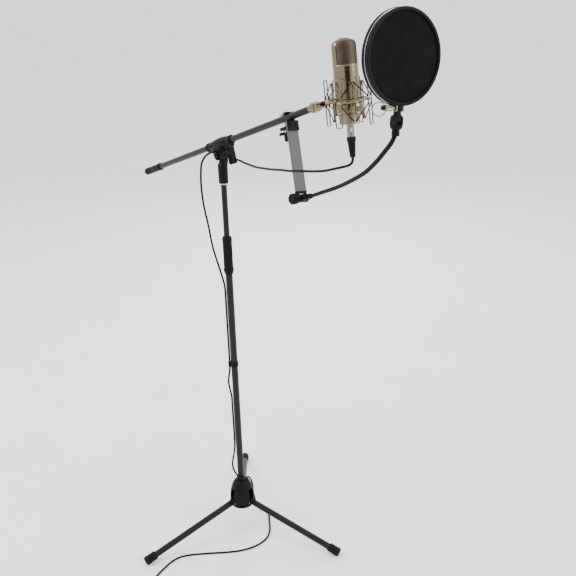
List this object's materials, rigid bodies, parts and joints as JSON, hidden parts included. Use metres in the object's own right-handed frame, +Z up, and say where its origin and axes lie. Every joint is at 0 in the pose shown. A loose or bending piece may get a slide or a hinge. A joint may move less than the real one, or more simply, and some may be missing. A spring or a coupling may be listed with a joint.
{
  "type": "boom microphone stand",
  "caption": "Tripod floor stand with a tilting, sliding boom that carries a shock-mounted microphone, a pop filter on a gooseneck, and its cable.",
  "frame": {"origin": "on the floor under the pole, at the centre of the circle of feet", "axes": "+Z up along the pole, +X the way the boom rises towards the microphone, +Y to the left of the boom"},
  "size_m": [1.1287, 0.6516, 1.5929],
  "materials": {
    "moulded_black": "satin",
    "cast_black": "satin",
    "clamp_plastic": "satin",
    "black_tube": "satin",
    "rubber": "matte",
    "zinc": "satin",
    "clip_plastic": "matte",
    "grip_plastic": "satin",
    "brass_collet": "satin",
    "champagne": "satin",
    "mic_alloy": "satin",
    "grille": "satin",
    "elastic": "matte",
    "grey_bar": "satin",
    "neck_sleeve": "satin",
    "hoop_plastic": "satin",
    "pop_fabric": "matte",
    "cable_jacket": "satin"
  },
  "bodies": {
    "stand_base": {"hub": "moulded_black", "tube_plug": "rubber", "leg_pins": "zinc", "lower_tube": "black_tube", "clutch_collar": "moulded_black", "pole_clip": "clip_plastic", "cable_pole": "cable_jacket", "cable_coil": "cable_jacket", "coil_tie": "elastic", "xlr_plug": "mic_alloy", "plug_boot": "rubber"},
    "leg_a": {"leg_tube_a": "black_tube", "leg_lug_a": "moulded_black", "leg_foot_a": "rubber"},
    "leg_b": {"leg_tube_b": "black_tube", "leg_lug_b": "moulded_black", "leg_foot_b": "rubber"},
    "leg_c": {"leg_tube_c": "black_tube", "leg_lug_c": "moulded_black", "leg_foot_c": "rubber"},
    "grip": {"clutch_grip": "grip_plastic"},
    "collet": {"clutch_collet": "brass_collet"},
    "upper": {"upper_tube": "black_tube", "tube_bush": "clip_plastic", "t_head": "cast_black", "head_ring": "zinc", "cable_drop": "cable_jacket"},
    "clamp": {"boom_clamp": "clamp_plastic", "cable_clip": "clip_plastic", "pivot_bolt": "zinc", "cable_head": "cable_jacket"},
    "tilt_wing": {"tilt_knob": "grip_plastic"},
    "boom": {"boom_tube": "black_tube", "rear_grip": "rubber", "boom_insert": "zinc", "mount_adaptor": "champagne", "cable_mic": "cable_jacket"},
    "mount": {"mount_arm": "champagne", "outer_cage": "champagne", "inner_cage": "champagne", "suspension": "elastic", "mic_body": "champagne", "mic_grille": "grille", "head_frame": "champagne", "mic_capsule": "brass_collet", "mic_base": "mic_alloy", "cable_socket": "mic_alloy", "cable_boot": "rubber"},
    "latch": {"latch_button": "zinc"},
    "mount_wing": {"mount_knob": "champagne"},
    "bar": {"bar_clamp": "clip_plastic", "accessory_bar": "grey_bar"},
    "bar_screw": {"clamp_screw": "zinc"},
    "neck": {"goose_base": "clip_plastic", "gooseneck": "neck_sleeve"},
    "neck_wing": {"goose_knob": "grip_plastic"},
    "pop": {"pop_hoops": "hoop_plastic", "pop_mesh": "pop_fabric", "pop_bracket": "mic_alloy"},
    "pop_wing": {"pop_screw": "mic_alloy"}
  },
  "joints": [
    {"name": "leg_a_fold", "type": "hinge", "parent": "stand_base", "child": "leg_a", "pos_m": [0.0306, 0.01236, 0.097], "axis": [0.3746, -0.9272, 0], "range_deg": [0, 90]},
    {"name": "leg_b_fold", "type": "hinge", "parent": "stand_base", "child": "leg_b", "pos_m": [-0.00459, -0.03268, 0.097], "axis": [-0.9903, 0.1392, 0], "range_deg": [0, 90]},
    {"name": "leg_c_fold", "type": "hinge", "parent": "stand_base", "child": "leg_c", "pos_m": [-0.026, 0.02032, 0.097], "axis": [0.6157, 0.788, 0], "range_deg": [0, 90]},
    {"name": "grip_twist", "type": "hinge", "parent": "stand_base", "child": "grip", "pos_m": [0, 0, 0.93], "axis": [0, 0, 1], "range_deg": [-90, 90]},
    {"name": "pan", "type": "hinge", "parent": "stand_base", "child": "collet", "pos_m": [0, 0, 0.93], "axis": [0, 0, 1], "range_deg": [-90, 90]},
    {"name": "height", "type": "slide", "parent": "collet", "child": "upper", "axis": [0, 0, 1], "range_m": [-0.14, 0.15], "deforming": ["cable_drop"]},
    {"name": "boom_tilt", "type": "hinge", "parent": "upper", "child": "clamp", "pos_m": [0, 0, 1.21], "axis": [0, -1, 0], "range_deg": [-50, 50], "deforming": ["cable_drop"]},
    {"name": "wing_twist", "type": "hinge", "parent": "clamp", "child": "tilt_wing", "pos_m": [0, 0.02, 1.21], "axis": [0, 1, 0], "range_deg": [-180, 180]},
    {"name": "boom_slide", "type": "slide", "parent": "clamp", "child": "boom", "axis": [0.9373, 0, 0.3486], "range_m": [-0.08, 0.06], "deforming": ["cable_head"]},
    {"name": "mount_tilt", "type": "hinge", "parent": "boom", "child": "mount", "pos_m": [0.38616, 0, 1.38161], "axis": [0, -1, 0], "range_deg": [-35, 35], "deforming": ["cable_mic"]},
    {"name": "mount_knob_twist", "type": "hinge", "parent": "boom", "child": "mount_wing", "pos_m": [0.38616, 0, 1.38161], "axis": [0, 1, 0], "range_deg": [-180, 180]},
    {"name": "latch_press", "type": "slide", "parent": "mount", "child": "latch", "axis": [-0.812, 0.5736, -0.1083], "range_m": [0, 0.0012], "stiffness_N_per_m": 400},
    {"name": "bar_slide", "type": "slide", "parent": "boom", "child": "bar", "axis": [0.9373, 0, 0.3486], "range_m": [-0.06, 0.012]},
    {"name": "bar_screw_turn", "type": "hinge", "parent": "bar", "child": "bar_screw", "pos_m": [0.2725, -0.00557, 1.29708], "axis": [-0.3452, 0.1392, 0.9282], "range_deg": [-180, 180]},
    {"name": "neck_tilt", "type": "hinge", "parent": "bar", "child": "neck", "pos_m": [0.34445, -0.02589, 1.16959], "axis": [-0.0485, -0.9903, 0.1304], "range_deg": [-25, 25]},
    {"name": "neck_knob_twist", "type": "hinge", "parent": "bar", "child": "neck_wing", "pos_m": [0.34445, -0.02589, 1.16959], "axis": [0.0485, 0.9903, -0.1304], "range_deg": [-180, 180]},
    {"name": "pop_tilt", "type": "hinge", "parent": "neck", "child": "pop", "pos_m": [0.70742, -0.11947, 1.40886], "axis": [-0.144, -0.9798, 0.1387], "range_deg": [-25, 25]},
    {"name": "pop_screw_turn", "type": "hinge", "parent": "pop", "child": "pop_wing", "pos_m": [0.70625, -0.11665, 1.42761], "axis": [0.144, 0.9798, -0.1387], "range_deg": [-180, 180]}
  ]
}
